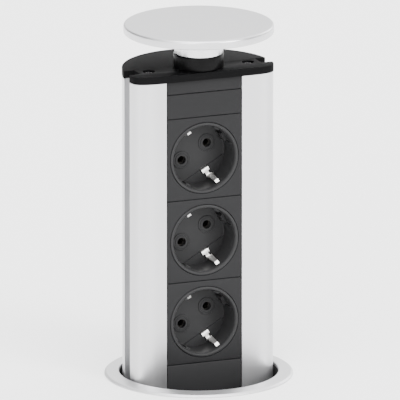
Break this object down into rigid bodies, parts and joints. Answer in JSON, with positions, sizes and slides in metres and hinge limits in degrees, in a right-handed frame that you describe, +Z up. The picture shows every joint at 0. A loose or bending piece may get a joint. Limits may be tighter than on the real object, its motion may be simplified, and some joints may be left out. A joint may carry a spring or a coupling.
{
  "type": "pop-up desk socket column",
  "caption": "Round flanged collar in a desk top with a D-shaped aluminium column of earthed sockets that slides up out of it under a disc lid.",
  "frame": {"origin": "centre of the flange ring's underside, in the plane of the desk surface", "axes": "+Z up along the column's travel and the lid's axis; the sockets face -Y; +X is to the right as seen facing the sockets"},
  "size_m": [0.124, 0.124, 0.2818],
  "materials": {
    "flange_ring": "satin",
    "collar_sleeve": "matt black",
    "guide_key_left": "matt grey",
    "guide_key_right": "matt grey",
    "clamp_washer": "zinc plate",
    "clamp_nut": "matt black",
    "column_profile": "silver anodised, fine vertical brushing",
    "top_plate": "matt black",
    "bottom_plate": "matt black",
    "hub_housing": "matt black",
    "top_screw_left": "zinc plate",
    "top_screw_right": "zinc plate",
    "bottom_screw_left": "zinc plate",
    "bottom_screw_right": "zinc plate",
    "cable_gland": "matt grey",
    "gland_nut": "matt grey",
    "top_trim_strip": "fine-grained charcoal",
    "blank_module": "fine-grained charcoal",
    "bottom_blank": "fine-grained charcoal",
    "socket_frame_1": "fine-grained charcoal",
    "socket_frame_2": "fine-grained charcoal",
    "socket_frame_3": "fine-grained charcoal",
    "socket_insert_1": "fine-grained charcoal",
    "socket_insert_2": "fine-grained charcoal",
    "socket_insert_3": "fine-grained charcoal",
    "earth_clip_1": "bright nickel plate",
    "earth_clip_2": "bright nickel plate",
    "earth_clip_3": "bright nickel plate",
    "contact_left_1": "bare",
    "contact_right_1": "bare",
    "contact_left_2": "bare",
    "contact_right_2": "bare",
    "contact_left_3": "bare",
    "contact_right_3": "bare",
    "live_busbar": "bare",
    "neutral_busbar": "bare",
    "earth_busbar": "bare",
    "terminal_block": "matt grey",
    "latch_guide": "zinc plate",
    "lid_disc": "satin",
    "lid_collar": "polished",
    "lid_spindle": "zinc plate",
    "lock_cam": "zinc plate",
    "latch_bolt": "zinc plate"
  },
  "bodies": {
    "collar": {"flange_ring": "flange_ring", "collar_sleeve": "collar_sleeve", "guide_key_left": "guide_key_left", "guide_key_right": "guide_key_right"},
    "clamp_carrier": {"clamp_washer": "clamp_washer"},
    "clamp_turn": {"clamp_nut": "clamp_nut"},
    "column": {"column_profile": "column_profile", "top_plate": "top_plate", "bottom_plate": "bottom_plate", "hub_housing": "hub_housing", "top_screw_left": "top_screw_left", "top_screw_right": "top_screw_right", "bottom_screw_left": "bottom_screw_left", "bottom_screw_right": "bottom_screw_right", "cable_gland": "cable_gland", "gland_nut": "gland_nut", "top_trim_strip": "top_trim_strip", "blank_module": "blank_module", "bottom_blank": "bottom_blank", "socket_frame_1": "socket_frame_1", "socket_frame_2": "socket_frame_2", "socket_frame_3": "socket_frame_3", "socket_insert_1": "socket_insert_1", "socket_insert_2": "socket_insert_2", "socket_insert_3": "socket_insert_3", "earth_clip_1": "earth_clip_1", "earth_clip_2": "earth_clip_2", "earth_clip_3": "earth_clip_3", "contact_left_1": "contact_left_1", "contact_right_1": "contact_right_1", "contact_left_2": "contact_left_2", "contact_right_2": "contact_right_2", "contact_left_3": "contact_left_3", "contact_right_3": "contact_right_3", "live_busbar": "live_busbar", "neutral_busbar": "neutral_busbar", "earth_busbar": "earth_busbar", "terminal_block": "terminal_block", "latch_guide": "latch_guide"},
    "lid": {"lid_disc": "lid_disc", "lid_collar": "lid_collar", "lid_spindle": "lid_spindle", "lock_cam": "lock_cam"},
    "latch": {"latch_bolt": "latch_bolt"}
  },
  "joints": [
    {"name": "column_slide", "type": "slide", "parent": "collar", "child": "column", "axis": [0, 0, 1], "range_m": [-0.214, 0]},
    {"name": "lid_turn", "type": "hinge", "parent": "column", "child": "lid", "pos_m": [0, 0, 0.2143], "axis": [0, 0, 1], "range_deg": [0, 90]},
    {"name": "latch_slide", "type": "slide", "parent": "column", "child": "latch", "axis": [0, 1, 0], "range_m": [0, 0.0045]},
    {"name": "clamp_slide", "type": "slide", "parent": "collar", "child": "clamp_carrier", "axis": [0, 0, 1], "range_m": [-0.012, 0.006]},
    {"name": "clamp_turn", "type": "hinge", "parent": "clamp_carrier", "child": "clamp_turn", "pos_m": [0, 0, -0.0321], "axis": [0, 0, 1], "range_deg": [-720, 360]}
  ],
  "couplings": [
    {"joint": "latch_slide", "follows": "lid_turn", "m_per_rad": 0.0028648},
    {"joint": "clamp_slide", "follows": "clamp_turn", "m_per_rad": 0.00095492}
  ]
}
